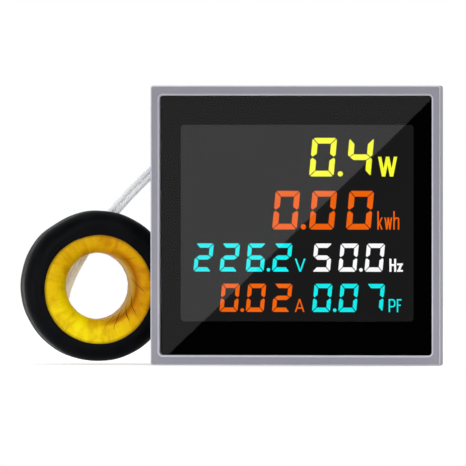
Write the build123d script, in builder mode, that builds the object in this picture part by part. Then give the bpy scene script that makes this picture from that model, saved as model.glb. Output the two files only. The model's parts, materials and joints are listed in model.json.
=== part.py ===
from build123d import *
from math import cos, pi, radians, sin, tan
import os

# Panel-mount ac power meter with a split-off ring current transformer on two leads.
# Millimetres. The display faces -Y, +X is to the right as seen from the front, +Z is up.
# The origin is the centre of the bezel's rear face, which lies on the panel.

# Display layout: two large rows over two small rows
LARGE_HEIGHT = 9.96
LARGE_WIDTH = 6.38
LARGE_PITCH = 9.6
LARGE_BAR = 1.48
LARGE_UPRIGHT = 1.45
LARGE_DOT = 1.36
LARGE_DOT_SPACE = 1.47
SMALL_HEIGHT = 7.27
SMALL_WIDTH = 4.66
SMALL_PITCH = 6.82
SMALL_BAR = 1.13
SMALL_UPRIGHT = 1.02
SMALL_DOT = 0.93
SMALL_DOT_SPACE = 0.9
SLANT_DEG = 5.4
SEGMENT_GAP = 0.15
UNIT_SPACE = 1.31
UNIT_WIDTH = 2.78
UNIT_HEIGHT = 3.35
COLUMN_SPACE = 1.68
WIDE_UNIT_SPACE = 1.84
WIDE_UNIT_WIDTH = 3.49
THIN_PEN = 0.36
BOLD_PEN = 0.52
FACTOR_OUTSET = 0.2
FACTOR_WIDTH = 3.3
WATT_WIDTH = 5.0
WATT_HEIGHT = 5.1
WATT_PEN = 0.86
WATT_INSET = 0.15
ENERGY_WIDTH = 5.67
ENERGY_HEIGHT = 4.75
ENERGY_INSET = 0.95
LARGE_UNIT_SPACE = 1.8
MARGIN_LEFT = 2.88
MARGIN_RIGHT = 3.12
MARGIN_BOTTOM = 2.39
MARGIN_TOP = 3.36
ROW_SPACE_LOW = 3.12
ROW_SPACE_MIDDLE = 3.6
ROW_SPACE_HIGH = 3.71

# Front: lens, black printed mask and bezel frame
MASK_SIDE = 5.03
MASK_TOP = 7.45
MASK_BOTTOM = 8.64
LENS_THICK = 1.5
LENS_CORNER = 0.8
LENS_GAP = 0.1
LENS_RECESS = 2.5
MASK_THICK = 0.1
FLANGE_FLOOR = 0.9
RIM_SIDE = 2.3
RIM_TOP = 2.55
BEZEL_CORNER = 0.6
RIM_CHAMFER = 0.45
RIM_FILLET = 0.4

# Liquid crystal display and its backlight, front to back
LEDGE_THICK = 1.5
LEDGE_MARGIN = 0.8
POLARISER_THICK = 0.2
GLASS_THICK = 1.1
CELL_GAP = 0.1
SEAL_WIDTH = 0.6
GLASS_SIDE = 0.93
GLASS_TOP = 2.0
CONTACT_LEDGE = 1.7
FILM_THICK = 0.15
GUIDE_THICK = 3.0
REFLECTOR_THICK = 0.2
HOLDER_WALL = 0.6
HOLDER_PLATE = 0.8
HOLDER_LEGS = 0.95
LED_COUNT = 6
LED_WIDTH = 3.0
LED_HEIGHT = 1.3
STRIP_THICK = 0.8
PIN_COUNT = 24
PIN_WIDTH = 0.5
PIN_THICK = 0.3
PIN_MARGIN = 3.0

# Case and rear cover
GLASS_CLEARANCE = 0.5
WALL = 2.0
BODY_CORNER = 2.0
CLIP_ROOM = 3.8
BODY_DEPTH = 25.0
COVER_THICK = 2.0
COVER_FILLET = 0.6
LIP_DEPTH = 2.0
LIP_WALL = 1.2
LIP_CLEARANCE = 0.15
BOARD_THICK = 1.6
BOSS_X = 25.0
BOSS_RADIUS = 1.9
SCREW_RADIUS = 1.0
SCREW_CLEARANCE = 0.03
COVER_SCREW_LENGTH = 9.0
COVER_HEAD_RADIUS = 1.9
COVER_HEAD_HEIGHT = 1.2
POST_RADIUS = 1.6
POST_X = 28.5
POST_Z = 24.0
VENT_COUNT = 7
VENT_WIDTH = 1.4
VENT_LENGTH = 13.0
VENT_PITCH = 3.2
VENTS_AT = (7.0, -8.0)

# Spring tongues that hold the meter in the panel
CLIP_WIDTH = 10.0
CLIP_THICK = 1.6
CLIP_HOOK = 1.6
CLIP_RAMP_END = 1.6
CLIP_FRONT = 2.2
CLIP_PIVOT_Y = 10.6
CLIP_KNUCKLE = 0.8
CLIP_TRUNNION = 0.5
CLIP_TRUNNION_LENGTH = 1.2
CLIP_CLEARANCE = 0.2
PIVOT_CLEARANCE = 0.05

# Rising-clamp terminal block
TERMINAL_PITCH = 7.62
TERMINAL_COUNT = 4
BLOCK_SIDE = 0.46
BLOCK_Z = 8.2
BLOCK_DEPTH = 12.2
BLOCK_RISE = 14.6
ENTRY_WALL = 2.8
ENTRY_RADIUS = 1.3
ENTRY_FUNNEL = 0.3
CAVITY_WIDTH = 6.1
CAVITY_BACK_WALL = 1.8
CAGE_WIDTH = 5.8
CAGE_SIDE = 0.8
CAGE_JAW = 1.0
CAGE_TOP = 1.3
CAGE_LENGTH = 4.6
CAGE_START = 1.2
OPEN_GAP = 2.8
BAR_THICK = 0.8
BAR_WIDTH = 3.6
BAR_CLEARANCE = 0.2
CLAMP_TRAVEL = 2.5
THREAD_PITCH = 0.5
CLAMP_SCREW_RADIUS = 1.5
CLAMP_SCREW_CLEARANCE = 0.03
CLAMP_HEAD_RADIUS = 2.2
CLAMP_HEAD_HEIGHT = 1.8
WELL_CLEARANCE = 0.15
WELL_FLOOR = 1.0
DRIVER_SLOT = 0.7
DRIVER_DEPTH = 0.9
BAY_SIDE = 0.5
BAY_WALL = 1.2
BAY_FLOOR = 0.8

# Current transformer
CT_OUTER = 39.0
CT_THICK = 14.5
CT_BORE = 17.0
CT_TURN_DEG = 16.0
CT_SIDE_GAP = 1.0
CT_Y = 14.5
CT_RISE = 0.7
CT_CORE_COVER = 2.6
CT_TAPE = 1.0
CT_COPPER = 1.6
CT_SLEEVE = 0.7
CT_FLAP = 0.4
CT_EDGE = 3.2
CT_WINDOW = 28.2
CT_WINDOW_LEFT = 0.5
CT_WINDOW_DOWN = 0.9
LEAD_RADIUS = 0.7
LEAD_EXIT_ACROSS = 8.2
LEAD_EXIT_DOWN = 10.2
LEAD_EXIT_RUN = 2.6
LEAD_END_RUN = 2.5
LEAD_SPACING = 1.62
FERRULE_RADIUS = 0.58
FERRULE_LENGTH = 7.6
COLLAR_RADIUS = 1.0
COLLAR_LENGTH = 2.0

# Board components: width, height, rise and place
METER_CHIP = (15.4, 7.5, 2.3)
METER_CHIP_AT = (-19.0, -8.0)
METER_CHIP_LEGS = 12
LOGIC_CHIP = (10.0, 10.0, 1.4)
LOGIC_CHIP_AT = (-2.5, -1.0)
LOGIC_CHIP_LEGS = 12
LEG_PITCH = 1.27
FINE_LEG_PITCH = 0.7
LEG_WIDTH = 0.35
LEG_LENGTH = 1.4
LEG_RISE = 0.6
CRYSTAL = (11.0, 4.6, 3.6)
CRYSTAL_AT = (-5.0, -11.8)
BOX_CAPACITOR_FOOT = (13.0, 6.0)
BOX_CAPACITOR_ROOM = 2.2
BOX_CAPACITOR_AT = (17.5, -20.0)
CAN_RADIUS = 4.0
CAN_ROOM = 1.7
CAN_AT = (3.5, -19.5)
VARISTOR_ROOM = 2.0
VARISTOR_THICK = 4.0
VARISTOR_AT = (23.5, 1.0)
VARISTOR_LEG = 1.2
FUSE_RADIUS = 2.0
FUSE_LENGTH = 11.0
FUSE_AT = (24.0, 14.0)
BRIDGE = (8.0, 6.5, 2.6)
BRIDGE_AT = (14.0, -8.5)
REGULATOR = (6.5, 3.5, 1.6)
REGULATOR_AT = (4.5, -9.5)
BURDEN_RADIUS = 1.4
BURDEN_LENGTH = 7.0
BURDEN_AT = (-23.0, 3.0)
CHIP_RESISTOR = (1.6, 0.8, 0.5)
CHIP_RESISTOR_PITCH = (2.8, 2.2)
CHIP_RESISTOR_ROWS = 4
CHIP_RESISTORS_AT = (-9.5, -20.0)
SWITCH_SIZE = 6.0
SWITCH_RISE = 3.5
SWITCH_AT = (-22.0, -19.0)
PLUNGER_RADIUS = 1.7
PLUNGER_RISE = 1.2
PLUNGER_WELL = 0.8
BUTTON_TRAVEL = 0.3
BUTTON_STEM = 1.3
BUTTON_COLLAR = 2.8
BUTTON_COLLAR_THICK = 1.2
BUTTON_RADIUS = 2.0
BUTTON_CLEARANCE = 0.1
BUTTON_RECESS = 0.4

# Window and digit places, worked out from the layout
small_left_span = 3 * SMALL_PITCH + SMALL_WIDTH
small_right_span = 2 * SMALL_PITCH + SMALL_WIDTH
window_width = (
    MARGIN_LEFT + small_left_span + UNIT_SPACE + UNIT_WIDTH
    + COLUMN_SPACE + small_right_span + WIDE_UNIT_SPACE + WIDE_UNIT_WIDTH + MARGIN_RIGHT
)
window_height = (
    MARGIN_BOTTOM + 2 * SMALL_HEIGHT + ROW_SPACE_LOW + ROW_SPACE_MIDDLE
    + 2 * LARGE_HEIGHT + ROW_SPACE_HIGH + MARGIN_TOP
)
lens_width = window_width + 2 * MASK_SIDE
lens_height = window_height + MASK_TOP + MASK_BOTTOM
window_bottom = -lens_height / 2 + MASK_BOTTOM
window_top = window_bottom + window_height
window_middle = (window_bottom + window_top) / 2
column_a = -window_width / 2 + MARGIN_LEFT
unit_a = column_a + small_left_span + UNIT_SPACE
column_b = unit_a + UNIT_WIDTH + COLUMN_SPACE
unit_b = column_b + small_right_span + WIDE_UNIT_SPACE
energy_right = unit_b + WIDE_UNIT_WIDTH - ENERGY_INSET
large_last = energy_right - ENERGY_WIDTH - LARGE_UNIT_SPACE - LARGE_WIDTH
large_unit = large_last + LARGE_WIDTH + LARGE_UNIT_SPACE
row_4 = window_bottom + MARGIN_BOTTOM
row_3 = row_4 + SMALL_HEIGHT + ROW_SPACE_LOW
row_2 = row_3 + SMALL_HEIGHT + ROW_SPACE_MIDDLE
row_1 = row_2 + LARGE_HEIGHT + ROW_SPACE_HIGH

# Outline sizes
bezel_width = lens_width + 2 * (LENS_GAP + RIM_SIDE)
bezel_height = lens_height + 2 * (LENS_GAP + RIM_TOP)
glass_width = window_width + 2 * GLASS_SIDE
glass_top = window_top + GLASS_TOP
glass_bottom = window_bottom - GLASS_TOP
rear_glass_bottom = glass_bottom + CONTACT_LEDGE
body_width = glass_width + 2 * (GLASS_CLEARANCE + WALL)
body_height = 2 * (glass_top + CLIP_ROOM + WALL)

# Depths, front to back
mask_back = -FLANGE_FLOOR
lens_back = mask_back - MASK_THICK
lens_front = lens_back - LENS_THICK
bezel_front = lens_front - LENS_RECESS
ledge_back = mask_back + LEDGE_THICK
cell_front = ledge_back + GLASS_THICK
cell_back = cell_front + CELL_GAP
glass_back = cell_back + GLASS_THICK
polariser_back = glass_back + POLARISER_THICK
film_back = polariser_back + FILM_THICK
guide_back = film_back + GUIDE_THICK
reflector_back = guide_back + REFLECTOR_THICK
holder_back = reflector_back + HOLDER_PLATE
board_front = holder_back + HOLDER_LEGS
board_rear = board_front + BOARD_THICK
cover_front = BODY_DEPTH - COVER_THICK
lip_front = cover_front - LIP_DEPTH
rear_room = cover_front - board_rear
varistor_radius = (rear_room - VARISTOR_LEG - VARISTOR_ROOM) / 2

# Terminal block places
block_width = TERMINAL_COUNT * TERMINAL_PITCH + 2 * BLOCK_SIDE
block_top = BLOCK_Z + BLOCK_DEPTH
block_rear = board_rear + BLOCK_RISE
cavity_bottom = BLOCK_Z + CAVITY_BACK_WALL
cavity_top = block_top - ENTRY_WALL
jaw_front = board_rear + CAGE_START
gap_front = jaw_front + CAGE_JAW
bar_front = gap_front + OPEN_GAP
bar_back = bar_front + BAR_THICK
cage_top_front = bar_back + BAR_CLEARANCE
cage_back = cage_top_front + CAGE_TOP
cavity_back = cage_back + CLAMP_TRAVEL + BAR_CLEARANCE
well_front = cavity_back + WELL_FLOOR
head_front = well_front + BAR_CLEARANCE / 2
head_back = head_front + CLAMP_HEAD_HEIGHT
entry_y = bar_front - ENTRY_RADIUS
ferrule_y = bar_front - FERRULE_RADIUS - CLAMP_SCREW_CLEARANCE
clamped_rise = OPEN_GAP - 2 * FERRULE_RADIUS - 2 * CLAMP_SCREW_CLEARANCE
cage_z = (cavity_bottom + cavity_top) / 2 + BAR_THICK / 2
bay_half = block_width / 2 + BAY_SIDE
bay_floor_back = entry_y - ENTRY_RADIUS
bay_floor_front = bay_floor_back - BAY_FLOOR
terminal_x = [TERMINAL_PITCH * (1.5 - k) for k in range(TERMINAL_COUNT)]

# Current transformer places; axial points out of its front face
axial = Vector(sin(radians(CT_TURN_DEG)), -cos(radians(CT_TURN_DEG)), 0)
across = Vector(cos(radians(CT_TURN_DEG)), sin(radians(CT_TURN_DEG)), 0)
ct_outer_radius = CT_OUTER / 2
ct_bore_radius = CT_BORE / 2
sleeve_edge = CT_EDGE + CT_SLEEVE
ct_reach = (
    (ct_outer_radius - sleeve_edge) * cos(radians(CT_TURN_DEG))
    + (CT_THICK / 2 - sleeve_edge) * sin(radians(CT_TURN_DEG)) + sleeve_edge
)
ct_centre = Vector(
    -body_width / 2 - CT_SIDE_GAP - ct_reach, CT_Y, -bezel_height / 2 + ct_outer_radius + CT_RISE
)
tape_width = CT_THICK - 2 * CT_FLAP
tape_outer = ct_outer_radius - CT_SLEEVE


os.makedirs("parts", exist_ok=True)


def facing(depth):
    """Plane at a depth behind the panel face, looking out of the front."""
    return Plane.XZ.offset(-depth)


def slab(width, height, front, back, at=(0, 0), corner=0, mode=Mode.ADD):
    """Block that lies along Y between two depths."""
    with BuildSketch(facing(back)) as outline:
        with Locations(at):
            if corner:
                RectangleRounded(width, height, corner)
            else:
                Rectangle(width, height)
    extrude(outline.sketch, amount=back - front, mode=mode)


def block(left, right, bottom, top, front, back, mode=Mode.ADD):
    """Block between six coordinates."""
    middle = ((left + right) / 2, (bottom + top) / 2)
    slab(right - left, top - bottom, front, back, at=middle, mode=mode)


def peg(radius, front, back, at=(0, 0), mode=Mode.ADD):
    """Round bar that lies along Y between two depths."""
    with BuildSketch(facing(back)) as outline:
        with Locations(at):
            Circle(radius)
    extrude(outline.sketch, amount=back - front, mode=mode)


def upright(radius, bottom, top, x, y, mode=Mode.ADD):
    """Round bar that stands along Z."""
    with BuildSketch(Plane.XY.offset(bottom)) as outline:
        with Locations((x, y)):
            Circle(radius)
    extrude(outline.sketch, amount=top - bottom, mode=mode)


def crossbar(radius, left, right, y, z, mode=Mode.ADD):
    """Round bar that lies along X."""
    with BuildSketch(Plane.YZ.offset(left)) as outline:
        with Locations((y, z)):
            Circle(radius)
    extrude(outline.sketch, amount=right - left, mode=mode)


def finish(piece, name):
    """Label a finished piece and write its file."""
    piece.part.label = name
    export_step(piece.part, f"parts/{name}.step")


# Case: bezel frame and the box behind it, one moulding open at the rear
boss_z = body_height / 2 - WALL - BOSS_RADIUS + 0.2
boss_places = [(x, z) for x in (-BOSS_X, BOSS_X) for z in (-boss_z, boss_z)]
inner_width = body_width - 2 * WALL
inner_height = body_height - 2 * WALL
ledge_width = window_width + 2 * LEDGE_MARGIN
ledge_height = window_height + 2 * LEDGE_MARGIN
clip_slot_back = CLIP_PIVOT_Y + CLIP_KNUCKLE + CLIP_CLEARANCE
clip_pivot_z = body_height / 2 - CLIP_KNUCKLE - CLIP_CLEARANCE / 2
with BuildPart() as front_case:
    slab(bezel_width, bezel_height, bezel_front, 0, corner=BEZEL_CORNER)
    slab(
        lens_width + 2 * LENS_GAP, lens_height + 2 * LENS_GAP, bezel_front, mask_back,
        corner=LENS_CORNER + LENS_GAP, mode=Mode.SUBTRACT,
    )
    rim = front_case.faces().sort_by(Axis.Y)[0]
    chamfer(rim.inner_wires()[0].edges(), RIM_CHAMFER)
    rim = front_case.faces().sort_by(Axis.Y)[0]
    fillet(rim.outer_wire().edges(), RIM_FILLET)
    slab(body_width, body_height, 0, cover_front, corner=BODY_CORNER)
    slab(inner_width, inner_height, ledge_back, cover_front, mode=Mode.SUBTRACT)
    slab(
        ledge_width, ledge_height, mask_back, ledge_back,
        at=(0, window_middle), mode=Mode.SUBTRACT,
    )
    for place in boss_places:
        peg(BOSS_RADIUS, ledge_back, cover_front, at=place)
        peg(SCREW_RADIUS, cover_front - COVER_SCREW_LENGTH, cover_front, at=place, mode=Mode.SUBTRACT)
    for side in (-1, 1):
        slab(
            CLIP_WIDTH + 2 * CLIP_CLEARANCE, 2 * WALL, CLIP_FRONT - CLIP_CLEARANCE, clip_slot_back,
            at=(0, side * (body_height / 2 - WALL / 2)), mode=Mode.SUBTRACT,
        )
        crossbar(
            CLIP_TRUNNION + PIVOT_CLEARANCE,
            -CLIP_WIDTH / 2 - CLIP_TRUNNION_LENGTH - CLIP_CLEARANCE,
            CLIP_WIDTH / 2 + CLIP_TRUNNION_LENGTH + CLIP_CLEARANCE,
            CLIP_PIVOT_Y, side * clip_pivot_z, mode=Mode.SUBTRACT,
        )
    block(
        -bay_half - BAY_WALL - LIP_CLEARANCE, bay_half + BAY_WALL + LIP_CLEARANCE,
        inner_height / 2 - WALL, body_height / 2 + WALL,
        bay_floor_front - LIP_CLEARANCE, cover_front, mode=Mode.SUBTRACT,
    )
finish(front_case, "front_case")

# Lens and the black mask printed behind its border
with BuildPart() as lens:
    slab(lens_width, lens_height, lens_front, lens_back, corner=LENS_CORNER)
finish(lens, "lens")

with BuildPart() as window_mask:
    slab(lens_width, lens_height, lens_back, mask_back, corner=LENS_CORNER)
    slab(
        window_width, window_height, lens_back, mask_back,
        at=(0, window_middle), corner=LENS_CORNER, mode=Mode.SUBTRACT,
    )
finish(window_mask, "window_mask")

# Display glass: polariser, front plate, seal, lit segments, rear plate
with BuildPart() as lcd_front_polariser:
    slab(
        window_width + LEDGE_MARGIN, window_height + LEDGE_MARGIN,
        ledge_back - POLARISER_THICK, ledge_back, at=(0, window_middle),
    )
finish(lcd_front_polariser, "lcd_front_polariser")

with BuildPart() as lcd_front_glass:
    block(-glass_width / 2, glass_width / 2, glass_bottom, glass_top, ledge_back, cell_front)
finish(lcd_front_glass, "lcd_front_glass")

seal_half = glass_width / 2
with BuildPart() as lcd_seal:
    block(-seal_half, seal_half, rear_glass_bottom - SEAL_WIDTH / 2, glass_top, cell_front, cell_back)
    block(
        SEAL_WIDTH - seal_half, seal_half - SEAL_WIDTH,
        rear_glass_bottom + SEAL_WIDTH / 2, glass_top - SEAL_WIDTH,
        cell_front, cell_back, mode=Mode.SUBTRACT,
    )
finish(lcd_seal, "lcd_seal")

with BuildPart() as lcd_rear_glass:
    block(-glass_width / 2, glass_width / 2, rear_glass_bottom, glass_top, cell_back, glass_back)
finish(lcd_rear_glass, "lcd_rear_glass")

# Lit segments. A figure is its left edge, its base line and one of these sizes:
# width, height, horizontal stroke, vertical stroke.
LARGE_FIGURE = (LARGE_WIDTH, LARGE_HEIGHT, LARGE_BAR, LARGE_UPRIGHT)
SMALL_FIGURE = (SMALL_WIDTH, SMALL_HEIGHT, SMALL_BAR, SMALL_UPRIGHT)
TIP = 0.3
WAIST = 0.3
NIP = 0.14
NIP_SIDE = 0.9
LIT = {
    "0": "abcdef", "2": "abged", "4": "fgbc", "5": "afgcd", "6": "afgedc", "7": "abc",
}


def segment_outline(letter, size):
    """Corners of one of the seven segments of an upright figure."""
    width, height, bar, stem = size
    gap = SEGMENT_GAP
    middle = height / 2
    nip_in = NIP * stem
    nip_down = NIP * bar
    blunt = NIP_SIDE * (nip_in + nip_down) / 2
    top = [
        (gap + nip_in + blunt, height), (width - gap - nip_in - blunt, height),
        (width - gap - nip_in, height - nip_down), (width - stem - gap, height - bar),
        (stem + gap, height - bar), (gap + nip_in, height - nip_down),
    ]
    upper = [
        (0, height - gap - nip_down - blunt), (nip_in, height - gap - nip_down),
        (stem, height - bar - gap), (stem, middle + bar / 2 + gap),
        (TIP * stem, middle + gap), (0, middle + WAIST * bar + gap),
    ]
    bridge = [
        (TIP * stem + gap, middle), (stem + gap, middle + bar / 2),
        (width - stem - gap, middle + bar / 2), (width - TIP * stem - gap, middle),
        (width - stem - gap, middle - bar / 2), (stem + gap, middle - bar / 2),
    ]
    outlines = {
        "a": top,
        "d": [(x, height - z) for x, z in top],
        "f": upper,
        "b": [(width - x, z) for x, z in upper],
        "e": [(x, height - z) for x, z in upper],
        "c": [(width - x, height - z) for x, z in upper],
        "g": bridge,
    }
    return outlines[letter]


def figure(character, left, base, size):
    """Lit segments of one figure, leaning to the right."""
    lean = tan(radians(SLANT_DEG))
    for letter in LIT[character]:
        corners = [(left + x + z * lean, base + z) for x, z in segment_outline(letter, size)]
        Polygon(*corners, align=None)


def reading(text, last, base, size, pitch, dot, dot_space):
    """A number whose last figure's left edge is given."""
    figures = len(text.replace(".", ""))
    left = last - (figures - 1) * pitch
    for character in text:
        if character == ".":
            with Locations((left - dot_space, base + dot / 2)):
                Circle(dot / 2)
        else:
            figure(character, left, base, size)
            left = left + pitch


def stroke(start, end, width):
    """Straight stroke of a unit letter, its ends cut level."""
    x0, z0 = start
    x1, z1 = end
    half = width / 2
    Polygon((x0 - half, z0), (x0 + half, z0), (x1 + half, z1), (x1 - half, z1), align=None)


def rung(left, right, z, width):
    """Level stroke of a unit letter."""
    half = width / 2
    Polygon((left, z - half), (right, z - half), (right, z + half), (left, z + half), align=None)


def bend(points, radius, width):
    """Rounded stroke of a unit letter."""
    with BuildLine() as path:
        FilletPolyline(*points, radius=radius)
    trace(path.line, line_width=width)


def letter_w(left, base, width, height, pen):
    """Capital or small W."""
    first = left + pen / 2
    step = (width - pen) / 4
    for k in range(4):
        low = base if k % 2 else base + height
        high = base + height if k % 2 else base
        stroke((first + k * step, low), (first + (k + 1) * step, high), pen)


def letter_v(left, base, width, height, pen, point=0):
    """V, or A without its bar where the point is at the top."""
    foot = base + height * point
    head = base + height * (1 - point)
    stroke((left + pen / 2, head), (left + width / 2, foot), pen)
    stroke((left + width - pen / 2, head), (left + width / 2, foot), pen)


with BuildPart() as yellow_segments:
    with BuildSketch(facing(cell_back)):
        reading("0.4", large_last, row_1, LARGE_FIGURE, LARGE_PITCH, LARGE_DOT, LARGE_DOT_SPACE)
        letter_w(large_unit + WATT_INSET, row_1, WATT_WIDTH, WATT_HEIGHT, WATT_PEN)
    extrude(amount=CELL_GAP)
finish(yellow_segments, "yellow_segments")

k_width = ENERGY_WIDTH * 0.24
w_left = large_unit + ENERGY_WIDTH * 0.325
w_width = ENERGY_WIDTH * 0.35
h_left = large_unit + ENERGY_WIDTH * 0.73
h_right = large_unit + ENERGY_WIDTH
x_height = ENERGY_HEIGHT * 0.66
thin = THIN_PEN
with BuildPart() as orange_segments:
    with BuildSketch(facing(cell_back)):
        reading("0.00", large_last, row_2, LARGE_FIGURE, LARGE_PITCH, LARGE_DOT, LARGE_DOT_SPACE)
        stroke((large_unit + thin / 2, row_2), (large_unit + thin / 2, row_2 + ENERGY_HEIGHT), thin)
        stroke(
            (large_unit + thin / 2, row_2 + x_height * 0.3),
            (large_unit + k_width - thin / 2, row_2 + x_height), thin,
        )
        stroke(
            (large_unit + k_width * 0.42, row_2 + x_height * 0.5),
            (large_unit + k_width - thin / 2, row_2), thin,
        )
        letter_w(w_left, row_2, w_width, x_height, thin)
        stroke((h_left + thin / 2, row_2), (h_left + thin / 2, row_2 + ENERGY_HEIGHT), thin)
        bend(
            [
                (h_left + thin / 2, row_2 + x_height * 0.6),
                (h_left + thin * 1.3, row_2 + x_height - thin / 2),
                (h_right - thin / 2, row_2 + x_height - thin / 2), (h_right - thin / 2, row_2),
            ],
            thin * 0.6, thin,
        )
        reading("0.02", column_a + 3 * SMALL_PITCH, row_4, SMALL_FIGURE, SMALL_PITCH, SMALL_DOT, SMALL_DOT_SPACE)
        letter_v(unit_a, row_4, UNIT_WIDTH * 0.9, UNIT_HEIGHT, thin, point=1)
        rung(unit_a + 0.55, unit_a + UNIT_WIDTH * 0.9 - 0.55, row_4 + UNIT_HEIGHT * 0.3, thin)
    extrude(amount=CELL_GAP)
finish(orange_segments, "orange_segments")

with BuildPart() as cyan_segments:
    with BuildSketch(facing(cell_back)):
        reading("226.2", column_a + 3 * SMALL_PITCH, row_3, SMALL_FIGURE, SMALL_PITCH, SMALL_DOT, SMALL_DOT_SPACE)
        letter_v(unit_a, row_3, UNIT_WIDTH, UNIT_HEIGHT, 1.2 * thin)
        reading("0.07", column_b + 2 * SMALL_PITCH, row_4, SMALL_FIGURE, SMALL_PITCH, SMALL_DOT, SMALL_DOT_SPACE)
        p_left = unit_b - FACTOR_OUTSET + thin / 2
        p_right = p_left + FACTOR_WIDTH * 0.42
        f_left = p_left + FACTOR_WIDTH * 0.64
        f_right = unit_b - FACTOR_OUTSET + FACTOR_WIDTH
        top_z = row_4 + UNIT_HEIGHT
        stroke((p_left, row_4), (p_left, top_z), thin)
        bend(
            [
                (p_left, top_z - thin / 2), (p_right, top_z - thin / 2),
                (p_right, row_4 + UNIT_HEIGHT * 0.42), (p_left, row_4 + UNIT_HEIGHT * 0.42),
            ],
            UNIT_HEIGHT * 0.18, thin,
        )
        stroke((f_left, row_4), (f_left, top_z), thin)
        rung(f_left, f_right, top_z - thin / 2, thin)
        rung(f_left, f_right - thin / 2, row_4 + UNIT_HEIGHT * 0.53, thin)
    extrude(amount=CELL_GAP)
finish(cyan_segments, "cyan_segments")

with BuildPart() as white_segments:
    with BuildSketch(facing(cell_back)):
        reading("50.0", column_b + 2 * SMALL_PITCH, row_3, SMALL_FIGURE, SMALL_PITCH, SMALL_DOT, SMALL_DOT_SPACE)
        bold = BOLD_PEN
        h_far = unit_b + WIDE_UNIT_WIDTH * 0.5
        stroke((unit_b + bold / 2, row_3), (unit_b + bold / 2, row_3 + UNIT_HEIGHT), bold)
        stroke((h_far - bold / 2, row_3), (h_far - bold / 2, row_3 + UNIT_HEIGHT), bold)
        rung(unit_b + bold / 2, h_far - bold / 2, row_3 + UNIT_HEIGHT * 0.52, bold)
        z_left = unit_b + WIDE_UNIT_WIDTH * 0.57
        z_right = unit_b + WIDE_UNIT_WIDTH
        z_top = row_3 + UNIT_HEIGHT * 0.65
        rung(z_left, z_right, z_top - bold / 2, bold * 0.9)
        stroke((z_left + bold * 0.6, row_3), (z_right - bold * 0.6, z_top), bold * 1.2)
        rung(z_left, z_right, row_3 + bold / 2, bold * 0.9)
    extrude(amount=CELL_GAP)
finish(white_segments, "white_segments")

# Behind the display glass: rear polariser, colour film, light guide, reflector
holder_half = glass_width / 2 - 0.2
holder_bottom = rear_glass_bottom
holder_top = glass_top - 0.2
guide_half = holder_half - HOLDER_WALL - 0.1
guide_bottom = holder_bottom + HOLDER_WALL + 0.1
leds_top = holder_top - HOLDER_WALL - STRIP_THICK
guide_top = leds_top - LED_HEIGHT - 0.05
with BuildPart() as lcd_rear_polariser:
    block(-holder_half, holder_half, holder_bottom, holder_top, glass_back, polariser_back)
finish(lcd_rear_polariser, "lcd_rear_polariser")

layers = [
    ("colour_film", polariser_back, film_back),
    ("light_guide", film_back, guide_back),
    ("reflector_sheet", guide_back, reflector_back),
]
for name, front, back in layers:
    with BuildPart() as layer:
        block(-guide_half, guide_half, guide_bottom, guide_top, front, back)
    finish(layer, name)

with BuildPart() as led_strip:
    block(-guide_half, guide_half, leds_top, leds_top + STRIP_THICK, film_back, guide_back)
finish(led_strip, "led_strip")

led_pitch = 2 * guide_half / LED_COUNT
with BuildPart() as backlight_leds:
    for k in range(LED_COUNT):
        slab(
            LED_WIDTH, LED_HEIGHT, film_back + GUIDE_THICK / 4, guide_back - GUIDE_THICK / 4,
            at=(led_pitch * (k - (LED_COUNT - 1) / 2), leds_top - LED_HEIGHT / 2),
        )
finish(backlight_leds, "backlight_leds")

with BuildPart() as lcd_holder:
    block(-holder_half, holder_half, holder_bottom, holder_top, polariser_back, board_front)
    block(
        HOLDER_WALL - holder_half, holder_half - HOLDER_WALL,
        holder_bottom + HOLDER_WALL, holder_top - HOLDER_WALL,
        polariser_back, reflector_back, mode=Mode.SUBTRACT,
    )
    block(
        2 * HOLDER_WALL - holder_half, holder_half - 2 * HOLDER_WALL,
        holder_bottom + 2 * HOLDER_WALL, holder_top - 2 * HOLDER_WALL,
        holder_back, board_front, mode=Mode.SUBTRACT,
    )
finish(lcd_holder, "lcd_holder")

pin_pitch = (glass_width - 2 * PIN_MARGIN) / (PIN_COUNT - 1)
pin_z = (glass_bottom + rear_glass_bottom) / 2
with BuildPart() as lcd_pins:
    for k in range(PIN_COUNT):
        slab(
            PIN_WIDTH, PIN_THICK, cell_front, board_front,
            at=(pin_pitch * (k - (PIN_COUNT - 1) / 2), pin_z),
        )
finish(lcd_pins, "lcd_pins")

# Main board with holes for the four terminal pins
pin_bottom = cavity_bottom
pin_top = cavity_bottom + BAR_THICK
with BuildPart() as main_board:
    block(-glass_width / 2, glass_width / 2, glass_bottom, glass_top, board_front, board_rear)
    for x in terminal_x:
        slab(
            BAR_WIDTH / 2 + 0.2, BAR_THICK + 0.2, board_front, board_rear,
            at=(x, (pin_bottom + pin_top) / 2), mode=Mode.SUBTRACT,
        )
finish(main_board, "main_board")


def component(name, size, at):
    """Box-shaped part soldered flat on the rear of the board."""
    width, height, rise = size
    with BuildPart() as body:
        slab(width, height, board_rear, board_rear + rise, at=at)
        chamfer(body.faces().sort_by(Axis.Y)[-1].edges(), min(0.3, rise / 4))
    finish(body, name)


component("metering_chip", METER_CHIP, METER_CHIP_AT)
component("controller_chip", LOGIC_CHIP, LOGIC_CHIP_AT)
component("crystal", CRYSTAL, CRYSTAL_AT)
component("x2_capacitor", (*BOX_CAPACITOR_FOOT, rear_room - BOX_CAPACITOR_ROOM), BOX_CAPACITOR_AT)
component("bridge_rectifier", BRIDGE, BRIDGE_AT)
component("regulator", REGULATOR, REGULATOR_AT)


def leg_row(count, pitch, centre, offset, along):
    """Chip legs on two opposite sides."""
    cx, cz = centre
    for k in range(count):
        run = pitch * (k - (count - 1) / 2)
        for side in (-1, 1):
            out = side * (offset + LEG_LENGTH / 2)
            if along == "x":
                slab(LEG_WIDTH, LEG_LENGTH, board_rear, board_rear + LEG_RISE, at=(cx + run, cz + out))
            else:
                slab(LEG_LENGTH, LEG_WIDTH, board_rear, board_rear + LEG_RISE, at=(cx + out, cz + run))


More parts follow.
